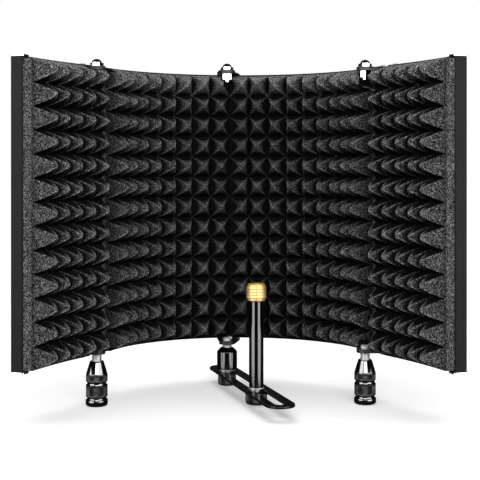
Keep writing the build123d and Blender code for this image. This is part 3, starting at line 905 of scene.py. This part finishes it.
def make_cap_nut(name, axis, body):
    """Chrome acorn nut: chamfered hexagon under a tall dome."""
    low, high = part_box(f"{name}_cap_nut")
    bottom, top = low.z / MM, high.z / MM
    hex_top = bottom + 3.3
    dome = 5.2
    outline = [(0, bottom + 4.4), (3.05, bottom + 4.4), (3.05, bottom)]
    outline += [(7.6, z) for z in steps(bottom, hex_top, 12)]
    for t in steps(0.0, 1.0, 14)[:-1]:
        turn = math.pi / 2 * t
        outline.append((dome * math.cos(turn), hex_top + (top - hex_top) * math.sin(turn)))
    outline.append((0, top))
    lathe(
        f"{name}_acorn_nut",
        axis,
        outline,
        72,
        hexagon(12.4, bottom, hex_top, (-0.35, 2.4), math.pi / 6),
        material=CHROME,
        body=body,
        slot="chrome_hardware",
        replaces=[f"{name}_cap_nut"],
        smooth_angle=30,
    )


def make_under_nut(name, axis, body):
    """Hexagon nut under the upper ears."""
    low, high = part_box(f"{name}_under_nut")
    bottom, top = low.z / MM, high.z / MM
    outline = [(3.05, bottom)] + [(5.77, z) for z in steps(bottom, top, 14)] + [(3.05, top)]
    lathe(
        f"{name}_hex_nut",
        axis,
        outline,
        72,
        hexagon(10.0, bottom, top, (-0.3, 2.4)),
        material=CHROME,
        body=body,
        slot="chrome_hardware",
        replaces=[f"{name}_under_nut"],
        smooth_angle=30,
    )


def make_adapter():
    """Brass adapter: collars, shallow ridges, a slot down the side and a threaded hole."""
    low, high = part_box("thread_adapter")
    bottom, top = low.z / MM, high.z / MM
    collar, grip, bore = 9.1, 10.5, 4.05
    outline = [(bore, bottom), (8.5, bottom), (8.95, bottom + 0.15), (collar, bottom + 0.5)]
    outline += [(collar, bottom + 2.5)]
    ridges, ridge, ridge_depth = 4, 3.0, 0.28
    for i in range(ridges):
        base = bottom + 2.8 + ridge * i
        for t in steps(0.0, 1.0, 10):
            radius = grip - 0.10 - ridge_depth * abs(2 * t - 1) ** 2.0
            outline.append((radius, base + (ridge - 0.05) * t))
    outline += [(collar, bottom + 15.0), (collar, top - 0.55), (8.85, top - 0.15), (8.5, top)]
    outline += [(5.6, top), (5.1, top - 0.35)]
    thread_radius, thread_pitch, thread_depth = 4.76, 1.5875, 11.0  # 3/8 inch, 16 to the inch
    outline += [(thread_radius, z) for z in steps(top - 0.7, top - thread_depth, 52)]
    outline += [(bore, top - thread_depth - 0.1)]

    def shape(angle, height, radius):
        if abs(radius - thread_radius) < 1e-6:
            turn = (height / thread_pitch - angle / (2 * math.pi)) % 1.0
            return radius - 0.42 * (1 - abs(turn * 2 - 1))
        slot = abs((angle + math.pi / 2 + math.pi) % (2 * math.pi) - math.pi)
        if radius > 8.4 and slot < 0.045:
            return radius - 0.9
        return radius

    lathe(
        "brass_adapter",
        POST_AXIS,
        outline,
        240,
        shape,
        material=BRASS,
        body="thread_adapter",
        slot="brass",
        replaces=["thread_adapter"],
        smooth_angle=32,
    )


make_side_foot("left", LEFT_AXIS)
make_side_foot("right", RIGHT_AXIS)
make_centre_foot()
make_bracket_nut()
make_knob()
make_adapter()
for hinge_name, hinge_axis, hinge_body in (
    ("left", LEFT_AXIS, "inner_left"),
    ("centre", CENTRE_AXIS, "inner_left"),
    ("right", RIGHT_AXIS, "inner_right"),
):
    make_stud(hinge_name, hinge_axis, hinge_body)
    make_cap_nut(hinge_name, hinge_axis, hinge_body)
    make_under_nut(hinge_name, hinge_axis, hinge_body)

# ---- CAD nodes that stay, with better materials --------------------------------------------------

NODE_LOOKS = (
    ("_rails", ANODISED),
    ("_stiles", ANODISED),
    ("_back_sheet", POWDER),
    ("_ears", POWDER),
    ("_ear_screws", STEEL),
    ("_end_caps", CHROME),
    ("_hinge_screw", CHROME),
    ("_washer", STEEL),
    ("slotted_bracket", GLOSS),
    ("mic_post", TUBE),
    ("post_spigot", STEEL),
    ("knob_screw", STEEL),
)
for node_name, node in frame["nodes"].items():
    for ending, look in NODE_LOOKS:
        if node_name.endswith(ending):
            node.data.materials.clear()
            node.data.materials.append(look)

# ---- floor, light and camera ---------------------------------------------------------------------


def make_floor():
    """White floor far past the edges of the picture, unseen in the plated parts."""
    half = 12.0
    corners = [(-half, -half, 0), (half, -half, 0), (half, half, 0), (-half, half, 0)]
    data = bpy.data.meshes.new("floor")
    data.from_pydata(corners, [], [(0, 1, 2, 3)])
    floor = bpy.data.objects.new("floor", data)
    bpy.context.scene.collection.objects.link(floor)
    data.materials.append(floor_look())
    floor.visible_diffuse = False
    floor.visible_glossy = False
    floor.visible_shadow = False


def area_lamp(name, place, target, width, height, power):
    """A rectangular lamp that the camera doesn't see."""
    data = bpy.data.lights.new(name, "AREA")
    data.shape = "RECTANGLE"
    data.size, data.size_y, data.energy = width, height, power
    lamp = bpy.data.objects.new(name, data)
    lamp.location = place
    lamp.rotation_euler = (Vector(target) - Vector(place)).to_track_quat("-Z", "Y").to_euler()
    lamp.visible_camera = False
    bpy.context.scene.collection.objects.link(lamp)
    return lamp


def make_lights():
    """A key over the camera, two tall softboxes that show in the gloss, and soft light from above."""
    middle = (SHIELD_AXIS_X, -0.05, 0.2)
    area_lamp("key", (0.10, -1.35, 0.60), middle, 0.9, 0.4, 12.5)
    distance, lamp_height = 1.4, 0.40
    softboxes = (("left_softbox", -50.0, 1.25, 23.0), ("right_softbox", 47.0, 1.15, 21.7))
    for name, turn, width, power in softboxes:
        a = math.radians(turn)
        place = (distance * math.sin(a), -distance * math.cos(a), lamp_height)
        lamp = area_lamp(name, place, (0.0, 0.0, lamp_height), width, 1.3, power)
        lamp.visible_diffuse = False
    data = bpy.data.lights.new("overhead", "SUN")
    data.energy = 2.7
    data.angle = math.radians(80)
    sun = bpy.data.objects.new("overhead", data)
    sun.rotation_euler = Vector((0.0, -0.10, -1.0)).to_track_quat("-Z", "Y").to_euler()
    sun.visible_glossy = False
    bpy.context.scene.collection.objects.link(sun)


def make_world():
    """Surroundings that are white to the camera, dim as a light and dark in the plated parts."""
    world = bpy.data.worlds.new("studio")
    world.use_nodes = True
    nodes, links = world.node_tree.nodes, world.node_tree.links
    nodes.remove(nodes["Background"])
    shades = []
    for strength in (0.10, 0.024, 1.0):
        shade = nodes.new("ShaderNodeBackground")
        shade.inputs["Color"].default_value = (1.0, 1.0, 1.0, 1.0)
        shade.inputs["Strength"].default_value = strength
        shades.append(shade.outputs["Background"])
    as_light, mirrored, seen = shades
    path = nodes.new("ShaderNodeLightPath")
    surroundings = as_light
    for ray, shade in (("Is Glossy Ray", mirrored), ("Is Camera Ray", seen)):
        mix = nodes.new("ShaderNodeMixShader")
        links.new(path.outputs[ray], mix.inputs["Fac"])
        links.new(surroundings, mix.inputs[1])
        links.new(shade, mix.inputs[2])
        surroundings = mix.outputs["Shader"]
    links.new(surroundings, nodes["World Output"].inputs["Surface"])
    bpy.context.scene.world = world


def make_camera():
    """Level camera a little above the middle of the shield, its frame lowered by a lens shift."""
    data = bpy.data.cameras.new("camera")
    data.sensor_width = 36.0
    data.lens = 79.7
    data.shift_y = -0.148
    camera = bpy.data.objects.new("camera", data)
    camera.location = (0.0148, -1.215, 0.2465)
    camera.rotation_euler = (math.radians(90), 0.0, 0.0)
    bpy.context.scene.collection.objects.link(camera)
    bpy.context.scene.camera = camera


make_floor()
make_lights()
make_world()
make_camera()
bpy.context.scene.view_settings.view_transform = "Standard"
